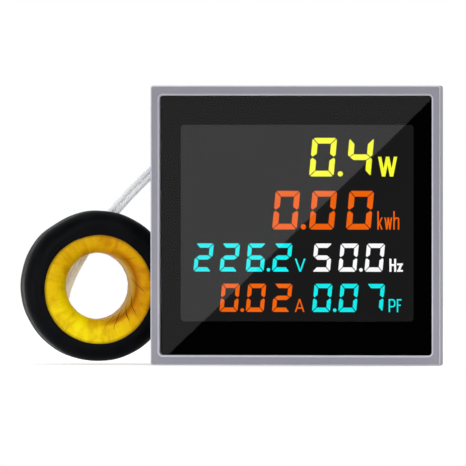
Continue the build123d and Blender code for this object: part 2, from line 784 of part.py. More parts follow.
with BuildPart() as chip_legs:
    leg_row(METER_CHIP_LEGS, LEG_PITCH, METER_CHIP_AT, METER_CHIP[1] / 2, "x")
    leg_row(LOGIC_CHIP_LEGS, FINE_LEG_PITCH, LOGIC_CHIP_AT, LOGIC_CHIP[1] / 2, "x")
    leg_row(LOGIC_CHIP_LEGS, FINE_LEG_PITCH, LOGIC_CHIP_AT, LOGIC_CHIP[0] / 2, "z")
finish(chip_legs, "chip_legs")

with BuildPart() as chip_resistors:
    with BuildSketch(facing(board_rear + CHIP_RESISTOR[2])) as outline:
        with Locations(CHIP_RESISTORS_AT):
            with GridLocations(*CHIP_RESISTOR_PITCH, CHIP_RESISTOR_ROWS, CHIP_RESISTOR_ROWS):
                Rectangle(CHIP_RESISTOR[0], CHIP_RESISTOR[1])
    extrude(amount=CHIP_RESISTOR[2])
finish(chip_resistors, "chip_resistors")

with BuildPart() as electrolytic_capacitor:
    peg(CAN_RADIUS, board_rear, cover_front - CAN_ROOM, at=CAN_AT)
    fillet(electrolytic_capacitor.faces().sort_by(Axis.Y)[-1].edges(), 0.5)
finish(electrolytic_capacitor, "electrolytic_capacitor")

varistor_x, varistor_z = VARISTOR_AT
with BuildPart() as varistor:
    with BuildSketch(Plane.XY.offset(varistor_z - VARISTOR_THICK / 2)):
        with Locations((varistor_x, board_rear + VARISTOR_LEG + varistor_radius)):
            Circle(varistor_radius)
    extrude(amount=VARISTOR_THICK)
    fillet(varistor.edges().filter_by(GeomType.CIRCLE), 1.2)
    for side in (-1, 1):
        peg(
            0.4, board_rear, board_rear + VARISTOR_LEG + varistor_radius,
            at=(varistor_x + side * varistor_radius / 2, varistor_z),
        )
finish(varistor, "varistor")


def axial_part(name, radius, length, at, leg=0.35):
    """Round part lying along Z on two bent legs."""
    x, z = at
    with BuildPart() as body:
        upright(radius, z - length / 2 + 1, z + length / 2 - 1, x, board_rear + radius + 0.3)
        fillet(body.edges().filter_by(GeomType.CIRCLE), radius / 4)
        upright(leg, z - length / 2, z + length / 2, x, board_rear + radius + 0.3)
        for side in (-1, 1):
            peg(0.8 * leg, board_rear, board_rear + radius + 0.3, at=(x, z + side * (length / 2 - 1.5 * leg)))
    finish(body, name)


axial_part("fuse_resistor", FUSE_RADIUS, FUSE_LENGTH, FUSE_AT)
axial_part("burden_resistor", BURDEN_RADIUS, BURDEN_LENGTH, BURDEN_AT)

# Reset push switch, its plunger and the long button over it
switch_back = board_rear + SWITCH_RISE
plunger_top = switch_back + PLUNGER_RISE
with BuildPart() as tact_switch:
    slab(SWITCH_SIZE, SWITCH_SIZE, board_rear, switch_back, at=SWITCH_AT)
    chamfer(tact_switch.faces().sort_by(Axis.Y)[-1].edges(), 0.2)
    peg(
        PLUNGER_RADIUS + BUTTON_CLEARANCE, switch_back - PLUNGER_WELL, switch_back,
        at=SWITCH_AT, mode=Mode.SUBTRACT,
    )
finish(tact_switch, "tact_switch")

with BuildPart() as switch_plunger:
    peg(PLUNGER_RADIUS, switch_back - PLUNGER_WELL + BUTTON_TRAVEL + 0.05, plunger_top, at=SWITCH_AT)
finish(switch_plunger, "switch_plunger")

collar_back = cover_front - BUTTON_CLEARANCE
with BuildPart() as reset_button:
    peg(BUTTON_STEM, plunger_top, collar_back, at=SWITCH_AT)
    peg(BUTTON_COLLAR, collar_back - BUTTON_COLLAR_THICK, collar_back, at=SWITCH_AT)
    peg(BUTTON_RADIUS, collar_back, BODY_DEPTH - BUTTON_RECESS, at=SWITCH_AT)
    fillet(reset_button.faces().sort_by(Axis.Y)[-1].edges(), 0.3)
finish(reset_button, "reset_button")

# Terminal block: four cavities, wire entries on top, screw wells at the rear
with BuildPart() as terminal_block:
    block(-block_width / 2, block_width / 2, BLOCK_Z, block_top, board_rear, block_rear)
    for x in terminal_x:
        block(
            x - CAVITY_WIDTH / 2, x + CAVITY_WIDTH / 2, cavity_bottom, cavity_top,
            board_rear, cavity_back, mode=Mode.SUBTRACT,
        )
        upright(ENTRY_RADIUS, cavity_top, block_top, x, entry_y, mode=Mode.SUBTRACT)
        peg(
            CLAMP_SCREW_RADIUS + WELL_CLEARANCE, cavity_back, well_front,
            at=(x, cage_z), mode=Mode.SUBTRACT,
        )
        peg(
            CLAMP_HEAD_RADIUS + WELL_CLEARANCE, well_front, block_rear,
            at=(x, cage_z), mode=Mode.SUBTRACT,
        )
    mouths = terminal_block.faces().sort_by(Axis.Z)[-1].inner_wires()
    chamfer([edge for mouth in mouths for edge in mouth.edges()], ENTRY_FUNNEL)
finish(terminal_block, "terminal_block")

with BuildPart() as terminal_contacts:
    for x in terminal_x:
        block(x - BAR_WIDTH / 2, x + BAR_WIDTH / 2, cavity_bottom, cavity_top, bar_front, bar_back)
        block(x - BAR_WIDTH / 4, x + BAR_WIDTH / 4, pin_bottom, pin_top, board_front, bar_back)
finish(terminal_contacts, "terminal_contacts")

# Terminals 3 and 4 hold the transformer's leads, so their cages stand risen and clamped.
for number, x in enumerate(terminal_x, start=1):
    rise = clamped_rise if number > 2 else 0
    with BuildPart() as cage:
        slab(CAGE_WIDTH, CAGE_LENGTH, jaw_front + rise, cage_back + rise, at=(x, cage_z))
        slab(
            CAGE_WIDTH - 2 * CAGE_SIDE, CAGE_LENGTH, gap_front + rise, cage_top_front + rise,
            at=(x, cage_z), mode=Mode.SUBTRACT,
        )
        peg(
            CLAMP_SCREW_RADIUS + CLAMP_SCREW_CLEARANCE, cage_top_front + rise, cage_back + rise,
            at=(x, cage_z), mode=Mode.SUBTRACT,
        )
    finish(cage, f"terminal_cage_{number}")
    with BuildPart() as screw:
        peg(CLAMP_SCREW_RADIUS, bar_back + BAR_CLEARANCE / 2, head_front, at=(x, cage_z))
        peg(CLAMP_HEAD_RADIUS, head_front, head_back, at=(x, cage_z))
        fillet(screw.faces().sort_by(Axis.Y)[-1].edges(), 0.3)
        slab(
            2 * CLAMP_HEAD_RADIUS, DRIVER_SLOT, head_back - DRIVER_DEPTH, head_back,
            at=(x, cage_z), mode=Mode.SUBTRACT,
        )
        slab(
            DRIVER_SLOT, CLAMP_HEAD_RADIUS * 1.3, head_back - DRIVER_DEPTH, head_back,
            at=(x, cage_z), mode=Mode.SUBTRACT,
        )
    finish(screw, f"terminal_screw_{number}")

# Rear cover: plate, lip, posts that hold the board, and the wiring bay above the terminals
bay_bottom = block_top
with BuildPart() as rear_cover:
    slab(body_width, body_height, cover_front, BODY_DEPTH, corner=BODY_CORNER)
    fillet(rear_cover.faces().sort_by(Axis.Y)[-1].edges(), COVER_FILLET)
    slab(inner_width - 2 * LIP_CLEARANCE, inner_height - 2 * LIP_CLEARANCE, lip_front, cover_front)
    slab(
        inner_width - 2 * LIP_CLEARANCE - 2 * LIP_WALL, inner_height - 2 * LIP_CLEARANCE - 2 * LIP_WALL,
        lip_front, cover_front, mode=Mode.SUBTRACT,
    )
    for place in boss_places:
        peg(BOSS_RADIUS + LIP_CLEARANCE, lip_front, cover_front, at=place, mode=Mode.SUBTRACT)
        peg(SCREW_RADIUS + LIP_CLEARANCE, cover_front, BODY_DEPTH, at=place, mode=Mode.SUBTRACT)
        peg(
            COVER_HEAD_RADIUS + LIP_CLEARANCE, BODY_DEPTH - COVER_HEAD_HEIGHT, BODY_DEPTH,
            at=place, mode=Mode.SUBTRACT,
        )
    for x in (-POST_X, POST_X):
        for z in (-POST_Z, POST_Z):
            peg(POST_RADIUS, board_rear, cover_front, at=(x, z))
    block(
        -bay_half - BAY_WALL, bay_half + BAY_WALL, bay_bottom, body_height / 2,
        bay_floor_front, BODY_DEPTH,
    )
    block(
        -bay_half, bay_half, bay_bottom, body_height / 2,
        bay_floor_back, BODY_DEPTH, mode=Mode.SUBTRACT,
    )
    block(
        -block_width / 2 - LIP_CLEARANCE, block_width / 2 + LIP_CLEARANCE,
        BLOCK_Z - LIP_CLEARANCE, bay_bottom, cover_front, BODY_DEPTH, mode=Mode.SUBTRACT,
    )
    peg(
        BUTTON_RADIUS + BUTTON_CLEARANCE, cover_front, BODY_DEPTH,
        at=SWITCH_AT, mode=Mode.SUBTRACT,
    )
    with BuildSketch(facing(BODY_DEPTH)):
        with Locations(VENTS_AT):
            with GridLocations(VENT_PITCH, 1, VENT_COUNT, 1):
                SlotOverall(VENT_LENGTH, VENT_WIDTH, rotation=90)
    extrude(amount=COVER_THICK, mode=Mode.SUBTRACT)
finish(rear_cover, "rear_cover")

with BuildPart() as cover_screws:
    for place in boss_places:
        peg(
            SCREW_RADIUS - SCREW_CLEARANCE, BODY_DEPTH - COVER_SCREW_LENGTH,
            BODY_DEPTH - COVER_HEAD_HEIGHT, at=place,
        )
        peg(COVER_HEAD_RADIUS, BODY_DEPTH - COVER_HEAD_HEIGHT, BODY_DEPTH - 0.1, at=place)
        slab(2.4, 0.5, BODY_DEPTH - 0.8, BODY_DEPTH - 0.1, at=place, mode=Mode.SUBTRACT)
        slab(0.5, 2.4, BODY_DEPTH - 0.8, BODY_DEPTH - 0.1, at=place, mode=Mode.SUBTRACT)
finish(cover_screws, "cover_screws")

# Spring tongues in the top and bottom walls, ramped so the cutout pushes them in
for name, side in (("panel_clip_upper", 1), ("panel_clip_lower", -1)):
    outer = body_height / 2
    with BuildPart() as clip:
        with BuildSketch(Plane.YZ.offset(-CLIP_WIDTH / 2)):
            Polygon(
                (CLIP_FRONT, side * (outer - CLIP_THICK)),
                (CLIP_FRONT, side * outer),
                (CLIP_FRONT + 0.5, side * (outer + CLIP_HOOK)),
                (CLIP_FRONT + 1.3, side * (outer + CLIP_HOOK)),
                (CLIP_PIVOT_Y - CLIP_RAMP_END, side * outer),
                (CLIP_PIVOT_Y, side * (clip_pivot_z + CLIP_KNUCKLE)),
                (CLIP_PIVOT_Y, side * (clip_pivot_z - CLIP_KNUCKLE)),
                align=None,
            )
            with Locations((CLIP_PIVOT_Y, side * clip_pivot_z)):
                Circle(CLIP_KNUCKLE)
        extrude(amount=CLIP_WIDTH)
        crossbar(
            CLIP_TRUNNION, -CLIP_WIDTH / 2 - CLIP_TRUNNION_LENGTH,
            CLIP_WIDTH / 2 + CLIP_TRUNNION_LENGTH, CLIP_PIVOT_Y, side * clip_pivot_z,
        )
    finish(clip, name)

# Current transformer: core, copper winding, yellow tape and black sleeve
ring_plane = Plane(origin=ct_centre, x_dir=across, z_dir=(0, 0, -1))
face_plane = Plane(origin=ct_centre, x_dir=across, z_dir=axial)
ring_axis = Axis(ct_centre, axial)


def ring_section(inner, outer, width, corner, mode=Mode.ADD):
    """Rounded section of a ring, from its inner to its outer radius."""
    with Locations(((inner + outer) / 2, 0)):
        RectangleRounded(outer - inner, width, corner, mode=mode)


copper_inner = ct_bore_radius + CT_TAPE
copper_outer = tape_outer - CT_TAPE
copper_width = tape_width - 2 * CT_TAPE
core_inner = copper_inner + CT_COPPER
core_outer = copper_outer - CT_COPPER
core_width = copper_width - 2 * CT_COPPER
with BuildPart() as ct_core:
    with BuildSketch(ring_plane):
        ring_section(core_inner, core_outer, core_width, 0.6)
    revolve(axis=ring_axis)
finish(ct_core, "ct_core")

with BuildPart() as ct_winding:
    with BuildSketch(ring_plane):
        ring_section(copper_inner, copper_outer, copper_width, CT_EDGE - CT_TAPE)
    revolve(axis=ring_axis)
    add(ct_core.part, mode=Mode.SUBTRACT)
finish(ct_winding, "ct_winding")

with BuildPart() as ct_tape:
    with BuildSketch(ring_plane):
        ring_section(ct_bore_radius, tape_outer, tape_width, CT_EDGE)
    revolve(axis=ring_axis)
    add(ct_core.part, mode=Mode.SUBTRACT)
    add(ct_winding.part, mode=Mode.SUBTRACT)
finish(ct_tape, "ct_tape")

window_radius = CT_WINDOW / 2
sleeve_inner = window_radius - 1.2
with BuildPart() as ct_sleeve:
    with BuildSketch(ring_plane) as sleeve_section:
        with Locations(((sleeve_inner + ct_outer_radius) / 2, 0)):
            Rectangle(ct_outer_radius - sleeve_inner, CT_THICK)
        fillet(sleeve_section.vertices().group_by(Axis.X)[-1], sleeve_edge)
        ring_section(ct_bore_radius, tape_outer, tape_width, CT_EDGE, mode=Mode.SUBTRACT)
    revolve(axis=ring_axis)
    with BuildSketch(face_plane.offset(-CT_THICK)):
        with Locations((-CT_WINDOW_LEFT, -CT_WINDOW_DOWN)):
            Circle(window_radius)
    extrude(amount=2 * CT_THICK, mode=Mode.SUBTRACT)
finish(ct_sleeve, "ct_sleeve")

# Ferrules crimped on the lead ends, clamped in terminals 3 and 4
collar_top = block_top + COLLAR_LENGTH
with BuildPart() as ferrule_pins:
    for x in terminal_x[2:]:
        upright(FERRULE_RADIUS, block_top - FERRULE_LENGTH, block_top, x, ferrule_y)
finish(ferrule_pins, "ferrule_pins")

with BuildPart() as ferrule_collars:
    for x in terminal_x[2:]:
        upright(COLLAR_RADIUS, block_top, collar_top, x, ferrule_y)
finish(ferrule_collars, "ferrule_collars")

# Leads: from the rear face of the ring, up through the bore's view, across behind the case
# and down into the bay. The middle points are the centre line of the pair.
lead_exit = ct_centre - across * LEAD_EXIT_ACROSS - axial * (tape_width / 2) - Vector(0, 0, LEAD_EXIT_DOWN)
pair_route = [
    (-65.3, 23.6, -25.3), (-65.6, 25.4, -22.7), (-65.1, 26.2, -19.8), (-63.7, 26.5, -15.9),
    (-61.4, 26.7, -11.0), (-57.6, 27.0, -4.6), (-51.8, 27.6, 2.7), (-44.6, 28.6, 10.8),
    (-36.7, 29.4, 18.4), (-28.0, 30.1, 25.0), (-20.0, 30.6, 29.8),
]
pair_route = [lead_exit, lead_exit - axial * LEAD_EXIT_RUN] + [Vector(*point) for point in pair_route]
upper_x = terminal_x[2]
upper_end = [
    (-13.6, 30.6, 33.3), (-8.3, 28.0, 34.2), (-5.0, 23.6, 34.1), (upper_x, 18.9, 32.7),
    (upper_x, 15.6, 29.8), (upper_x, ferrule_y, collar_top + 1.52 * LEAD_END_RUN),
    (upper_x, ferrule_y, collar_top),
]
lower_x = terminal_x[3]
lower_end = [
    (-14.6, 29.2, 31.4), (-12.1, 25.2, 32.1), (lower_x, 20.6, 31.6), (lower_x, 17.0, 30.2),
    (lower_x, 14.9, 27.6), (lower_x, ferrule_y, collar_top + LEAD_END_RUN),
    (lower_x, ferrule_y, collar_top),
]


def beside(route, shift):
    """Points of one lead of the pair, shifted to one side of the pair's centre line."""
    points = [point + across * shift for point in route[:3]]
    for k in range(3, len(route)):
        heading = (route[k] - route[k - 1]).normalized()
        if k + 1 < len(route):
            heading = heading + (route[k + 1] - route[k]).normalized()
        points.append(route[k] + Vector(heading.Z, 0, -heading.X).normalized() * shift)
    return points


def bend_radii(points):
    """Largest radius that the two runs at each corner allow."""
    radii = []
    for before, here, after in zip(points, points[1:], points[2:]):
        turn = radians((here - before).get_angle(after - here))
        run = min((here - before).length, (after - here).length)
        radii.append(0.45 * run / tan(turn / 2))
    return radii


lead_routes = [
    ("ct_lead_left", beside(pair_route, -LEAD_SPACING / 2) + [Vector(*point) for point in upper_end]),
    ("ct_lead_right", beside(pair_route, LEAD_SPACING / 2) + [Vector(*point) for point in lower_end]),
]
for name, points in lead_routes:
    radii = bend_radii(points)
    with BuildPart() as lead:
        with BuildLine() as route:
            FilletPolyline(*points, radius=radii)
        with BuildSketch(Plane(origin=points[0], z_dir=-axial)):
            Circle(LEAD_RADIUS)
        sweep(path=route.wire())
    finish(lead, name)
    section = pi * LEAD_RADIUS ** 2
    length = route.wire().length
    print(f"{name}: length {length:.1f}, least radius {min(radii):.2f}")
    print(f"{name}: volume over section times length {lead.part.volume / section / length:.4f}")
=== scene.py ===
import json
import math

import bpy
import bmesh
from mathutils import Matrix, Vector


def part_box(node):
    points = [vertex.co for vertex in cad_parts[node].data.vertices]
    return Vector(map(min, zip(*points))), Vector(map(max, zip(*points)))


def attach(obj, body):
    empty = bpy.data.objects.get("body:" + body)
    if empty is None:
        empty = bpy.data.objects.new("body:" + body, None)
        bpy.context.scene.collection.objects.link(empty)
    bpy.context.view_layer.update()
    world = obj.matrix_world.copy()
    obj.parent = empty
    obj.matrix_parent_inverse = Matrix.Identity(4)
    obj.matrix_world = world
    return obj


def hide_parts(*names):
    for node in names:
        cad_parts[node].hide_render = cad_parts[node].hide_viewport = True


# Panel-mount ac power meter and its separate ring transformer, in metres in the model's own frame.
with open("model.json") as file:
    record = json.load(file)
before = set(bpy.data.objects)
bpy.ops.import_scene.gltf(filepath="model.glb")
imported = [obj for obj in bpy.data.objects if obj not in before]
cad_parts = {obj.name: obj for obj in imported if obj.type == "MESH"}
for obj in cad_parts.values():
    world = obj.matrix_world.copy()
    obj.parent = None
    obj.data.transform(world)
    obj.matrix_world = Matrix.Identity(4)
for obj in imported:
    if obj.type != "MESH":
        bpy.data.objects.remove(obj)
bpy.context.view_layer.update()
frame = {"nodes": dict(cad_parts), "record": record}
nodes = frame["nodes"]
MM = 0.001
mounts = {mount["name"]: mount for mount in frame["record"]["mounts"]}

# View of the photograph
VIEW_AIM = Vector((-16.88, 0, -1.99)) * MM
VIEW_TURN = math.radians(8.0)
VIEW_RISE = math.radians(0.5)
VIEW_DISTANCE = 5.0
VIEW_LENS = 1498.0
TO_CAMERA = Vector((
    math.sin(VIEW_TURN) * math.cos(VIEW_RISE),
    -math.cos(VIEW_TURN) * math.cos(VIEW_RISE),
    math.sin(VIEW_RISE),
))
CAMERA_PLACE = VIEW_AIM + TO_CAMERA * VIEW_DISTANCE

# Ring transformer
RING_CENTRE = Vector(mounts["ct_bore"]["pos_m"])
RING_AXIAL = Vector(mounts["ct_bore"]["axis"])
RING_ACROSS = Vector((-RING_AXIAL.y, RING_AXIAL.x, 0))
RING_UP = Vector((0, 0, 1))
BORE_RADIUS = 8.5 * MM
TAPE_OUTER = 18.6 * MM
TAPE_WIDTH = 13.7 * MM
TAPE_CORNER = 3.2 * MM
TAPE_ROWS = 720
TAPE_STEP = 0.32 * MM
TAPE_SETTINGS = {"Wraps": 24.0, "Fold": 0.09 * MM, "Slant": 3.7, "Seed": 4.0}
SLEEVE_OUTER = 19.5 * MM
SLEEVE_WIDTH = 14.5 * MM
SLEEVE_CORNER = 3.9 * MM
SLEEVE_WALL = 0.3 * MM
SLEEVE_LIP = 0.28 * MM
SLEEVE_ROWS = 360
SLEEVE_FLAT_AT = math.radians(121)
SLEEVE_FLAT_DEPTH = 0.35 * MM
SLEEVE_SAG_RUN = 4 * MM
WINDOW_RADIUS = 14.1 * MM
WINDOW_SHIFT = Vector((-0.5, -0.9)) * MM

# Display pane
PANE_GAP = 0.03 * MM
PANE_BEVEL = 0.08 * MM

# Leads; the places at the terminals are in mm, as in the routes below
LEAD_RADIUS = 0.7 * MM
LEAD_SPACING = 1.44 * MM
LEAD_EXIT_ACROSS = 8.2 * MM
LEAD_EXIT_DOWN = 10.2 * MM
LEAD_EXIT_RUN = 2.6 * MM
UPPER_X = -3.81
LOWER_X = -11.43
FERRULE_Y = 14.19
COLLAR_TOP = 22.4

# Studio: lamps as name, place, aim, size and power; card edges in mm on the window's front
LAMPS = (
    ("key", (0.3, -1.15, 0.75), (-0.02, 0, 0), 0.8, 7.4),
    ("front", (0.12, -1.3, 0.06), (-0.03, 0, 0), 0.26, 3.8),
    ("left_low", (-0.8, -0.9, -0.02), (-0.05, 0, 0), 0.5, 5),
)
FLOOR_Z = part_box("front_case")[0].z - 0.05 * MM
FLOOR_REACH = 1.2
FLOOR_FRONT = -0.06
FLOOR_GLOW = 0.45
CARD_Y = -0.5
CARD_TOP = (34.95, 32.4)
CARD_LOW = (-34.95, -34.9)
CARD_PAST_TOP = 0.02
CARD_PAST_LOW = 0.05
CARD_WIDTH = 0.3
CARD_GLOW = 0.5


def linear(code):
    """Scene-linear colour of a six-figure display colour."""
    values = [int(code[k:k + 2], 16) / 255 for k in (0, 2, 4)]
    return tuple(v / 12.92 if v <= 0.04045 else ((v + 0.055) / 1.055) ** 2.4 for v in values)


def wire(tree, kind, sockets=None, **settings):
    """One shader or geometry node, with its settings and its sockets set or linked."""
    made = tree.nodes.new(kind)
    for name, value in settings.items():
        setattr(made, name, value)
    for key, value in (sockets or {}).items():
        if isinstance(value, bpy.types.NodeSocket):
            tree.links.new(value, made.inputs[key])
        else:
            made.inputs[key].default_value = value
    return made


def maths(tree, kind, *values):
    """Result of one operation on numbers."""
    return wire(tree, "ShaderNodeMath", dict(enumerate(values)), operation=kind).outputs[0]


def vector_maths(tree, kind, *values):
    """Outputs of one operation on vectors, named Vector and Value."""
    return wire(tree, "ShaderNodeVectorMath", dict(enumerate(values)), operation=kind).outputs


def noise(tree, place, scale, detail):
    """Soft noise over a place."""
    made = wire(tree, "ShaderNodeTexNoise", {"Vector": place, "Scale": scale, "Detail": detail})
    return made.outputs["Fac"]


def shades(tree, factor, stops):
    """Colour ramp over (place, colour) stops."""
    ramp = wire(tree, "ShaderNodeValToRGB", {"Fac": factor})
    elements = ramp.color_ramp.elements
    while len(elements) < len(stops):
        elements.new(0.5)
    for element, (place, colour) in zip(elements, stops):
        element.position = place
        element.color = (*colour, 1)
    return ramp.outputs["Color"]


def ramp_between(tree, value, low, high, least=0.0, most=1.0):
    """Value carried from one range to another, held at its ends."""
    return wire(tree, "ShaderNodeMapRange", {
        "Value": value, "From Min": low, "From Max": high, "To Min": least, "To Max": most,
    }).outputs["Result"]


def blend_colours(tree, share, first, second, kind="MIX"):
    """Two colours mixed by a share."""
    mix = wire(tree, "ShaderNodeMix", {0: share, 6: first, 7: second}, data_type="RGBA", blend_type=kind)
    return mix.outputs[2]


def emboss(tree, shader, height, strength, distance):
    """Fine relief of a finish, too shallow for its mesh."""
    bump = wire(tree, "ShaderNodeBump", {"Height": height, "Strength": strength, "Distance": distance})
    tree.links.new(bump.outputs["Normal"], shader.inputs["Normal"])


def new_finish(name):
    """New finish with its tree and its shader."""
    finish = bpy.data.materials.new(name)
    finish.use_nodes = True
    tree = finish.node_tree
    return finish, tree, tree.nodes["Principled BSDF"]


def finish_in_place(name):
    """New finish with its tree, its shader and the piece's own coordinates."""
    finish, tree, shader = new_finish(name)
    place = wire(tree, "ShaderNodeTexCoord").outputs["Object"]
    return finish, tree, shader, place


def moulded(name, colour, roughness, grain=2600, relief=0.12, mottle=0.06):
    """Moulded plastic: fine spark-eroded grain, slight mottling and uneven sheen."""
    finish, tree, shader, place = finish_in_place(name)
    cloud = noise(tree, place, 90, 4)
    dark = tuple(c * (1 - mottle) for c in colour)
    light = tuple(min(1, c * (1 + mottle)) for c in colour)
    colours = shades(tree, cloud, [(0.3, dark), (0.7, light)])
    tree.links.new(colours, shader.inputs["Base Color"])
    sheen = ramp_between(tree, cloud, 0.3, 0.7, roughness - 0.04, roughness + 0.04)
    tree.links.new(sheen, shader.inputs["Roughness"])
    emboss(tree, shader, noise(tree, place, grain, 3), relief, 0.03 * MM)
    return finish


def plated(name, colour, roughness=0.32):
    """Plated or tinned metal with fine tumbling marks."""
    finish, tree, shader, place = finish_in_place(name)
    marks = noise(tree, place, 1800, 5)
    dark = tuple(c * 0.86 for c in colour)
    colours = shades(tree, marks, [(0.35, dark), (0.65, colour)])
    tree.links.new(colours, shader.inputs["Base Color"])
    worn = ramp_between(tree, marks, 0.3, 0.7, roughness - 0.08, roughness + 0.1)
    tree.links.new(worn, shader.inputs["Roughness"])
    emboss(tree, shader, marks, 0.1, 0.02 * MM)
    shader.inputs["Metallic"].default_value = 1.0
    return finish


def clear(name, colour, index):
    """Clear polished acrylic or glass."""
    finish, tree, shader, place = finish_in_place(name)
    ripple = noise(tree, place, 60, 1)
    tints = shades(tree, ripple, [(0.3, tuple(c * 0.985 for c in colour)), (0.7, colour)])
    tree.links.new(tints, shader.inputs["Base Color"])
    shader.inputs["Roughness"].default_value = 0.0
    shader.inputs["IOR"].default_value = index
    shader.inputs["Transmission Weight"].default_value = 1.0
    return finish


def lit(name, colour, strength):
    """Backlit display segment with the light guide's slight unevenness."""
    finish, tree, shader, place = finish_in_place(name)
    spread = noise(tree, place, 70, 1)
    glow = shades(tree, spread, [(0.3, tuple(c * 0.94 for c in colour)), (0.7, colour)])
    tree.links.new(glow, shader.inputs["Emission Color"])
    shader.inputs["Emission Strength"].default_value = strength
    shader.inputs["Base Color"].default_value = (0.004, 0.004, 0.004, 1)
    shader.inputs["Roughness"].default_value = 0.5
    shader.inputs["Specular IOR Level"].default_value = 0.1
    return finish


def film(name, colour, roughness, specular=0.5, painted_glow=0.0):
    """Smooth printed or coated film; its last argument is light painted in as a glow, in place of lamp light
    that clear glass in front keeps off it.
    """
    finish, tree, shader, place = finish_in_place(name)
    cloud = noise(tree, place, 240, 2)
    tints = shades(tree, cloud, [(0.3, tuple(c * 0.93 for c in colour)), (0.7, colour)])
    tree.links.new(tints, shader.inputs["Base Color"])
    shader.inputs["Roughness"].default_value = roughness
    shader.inputs["Specular IOR Level"].default_value = specular
    shader.inputs["Emission Color"].default_value = (1, 1, 1, 1)
    shader.inputs["Emission Strength"].default_value = painted_glow
    return finish


def bezel_finish():
    """Grey moulding whose bevels carry a painted highlight, coloured lighter than its grained faces."""
    finish = moulded("case_grey", linear("908f9a"), 0.5, grain=3200, relief=0.1, mottle=0.02)
    tree = finish.node_tree
    shader = tree.nodes["Principled BSDF"]
    grained = shader.inputs["Base Color"].links[0].from_socket
    normal = wire(tree, "ShaderNodeNewGeometry").outputs["True Normal"]
    forward = wire(tree, "ShaderNodeSeparateXYZ", {0: normal}).outputs["Y"]
    tilt = maths(tree, "ABSOLUTE", forward)
    off_wall = ramp_between(tree, tilt, 0.4, 0.55)
    off_face = ramp_between(tree, tilt, 0.98, 0.9)
    bevel = maths(tree, "MULTIPLY", off_wall, off_face)
    # Painted highlight: the bevels, found by how far their normals turn from the front, are coloured light
    # grey
    tree.links.new(blend_colours(tree, bevel, grained, (*linear("d6d6e0"), 1)), shader.inputs["Base Color"])
    return finish


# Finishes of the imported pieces
finishes = {
    "grey_case": bezel_finish(),
    "clear_lens": clear("lens_acrylic", (0.99, 0.99, 0.995), 1.49),
    "black_print": film("lens_print", (0.0008, 0.0008, 0.0008), 0.6, specular=0.0),
    # Painted light: the polariser glows at the level its colour would have under the lamps
    "dark_film": film("polariser", (0.0105, 0.0105, 0.0108), 0.6, specular=0.0, painted_glow=0.0105),
    "cell_glass": clear("cell_glass", (0.99, 0.99, 0.99), 1.05),
    "seal_resin": film("seal_resin", linear("4a4a4c"), 0.5),
    "yellow_light": lit("segments_yellow", linear("f8fc30"), 1.15),
    "orange_light": lit("segments_orange", linear("f16400"), 1.1),
    "cyan_light": lit("segments_cyan", linear("10eded"), 1.13),
    "white_light": lit("segments_white", linear("fdfdff"), 1.12),
    "colour_foil": film("colour_foil", linear("8f8f92"), 0.4),
    "guide_acrylic": film("light_guide", linear("e6ecee"), 0.25),
    "white_foil": film("reflector", linear("f2f2f2"), 0.5),
    "board_white": moulded("strip_white", linear("eceae4"), 0.5),
    "led_resin": moulded("led_resin", linear("f0e0a0"), 0.3),
    "white_plastic": moulded("holder_white", linear("ebebe8"), 0.5),
    "tinned_steel": plated("tinned_steel", linear("d2d2cf")),
    "board_green": moulded("board_green", linear("1c6a38"), 0.3, grain=1200, relief=0.2, mottle=0.12),
    "chip_black": moulded("chip_black", linear("202022"), 0.55),
    "resistor_blue": moulded("resistor_blue", linear("4a86b4"), 0.3),
    "resistor_green": moulded("resistor_green", linear("5f8f66"), 0.6),
    "capacitor_yellow": moulded("capacitor_yellow", linear("d9b44a"), 0.45),
    "capacitor_black": moulded("capacitor_black", linear("1d1e24"), 0.25),
    "varistor_blue": moulded("varistor_blue", linear("2f5fa8"), 0.28),
    "black_plastic": moulded("cover_black", linear("26262a"), 0.5, grain=2800, relief=0.16),
    "terminal_green": moulded("terminal_green", linear("2f8a50"), 0.42, grain=2400),
    "tinned_brass": plated("tinned_brass", linear("dcd8c2")),
    "zinc_steel": plated("zinc_steel", linear("cfd2d6"), 0.28),
    "core_steel": plated("core_steel", linear("8c8d90"), 0.4),
    "copper_wire": plated("copper_wire", linear("d8894a"), 0.3),
}
for entry in frame["record"]["subparts"]:
    finish = finishes.get(entry["material_slot"])
    if finish is not None:
        for slot in nodes[entry["node"]].material_slots:
            slot.material = finish


def new_piece(name, form, finish, replaced):
    """Object for a finished mesh or curve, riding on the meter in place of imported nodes."""
    piece = bpy.data.objects.new(name, form)
    bpy.context.scene.collection.objects.link(piece)
    if not form.materials:
        form.materials.append(finish)
    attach(piece, "meter")
    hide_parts(*replaced)
    return piece


# Display glass: one clear pane that stands for the polariser and the front plate
def display_pane():
    """Front plate and its polariser as one polished pane, clear of the lit segments behind it."""
    low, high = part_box("lcd_front_polariser")
    glass_low, glass_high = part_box("lcd_front_glass")
    back = glass_high.y - PANE_GAP
    mesh = bpy.data.meshes.new("display_pane")
    shape = bmesh.new()
    corners = []
    for y in (low.y, back):
        corners += [shape.verts.new((x, y, z)) for x, z in (
            (glass_low.x, glass_low.z), (glass_high.x, glass_low.z),
            (glass_high.x, glass_high.z), (glass_low.x, glass_high.z),
        )]
    for quad in ((0, 1, 2, 3), (7, 6, 5, 4), (0, 4, 5, 1), (1, 5, 6, 2), (2, 6, 7, 3), (3, 7, 4, 0)):
        shape.faces.new([corners[k] for k in quad])
    bmesh.ops.recalc_face_normals(shape, faces=shape.faces)
    bmesh.ops.bevel(shape, geom=shape.edges[:], offset=PANE_BEVEL, segments=2, affect="EDGES")
    shape.to_mesh(mesh)
    shape.free()
    return mesh


def ring_point(turn, radius, depth):
    """Point of the ring at an angle, a radius and a place along its axis."""
    out = RING_ACROSS * math.cos(turn) + RING_UP * math.sin(turn)
    return RING_CENTRE + out * radius + RING_AXIAL * depth


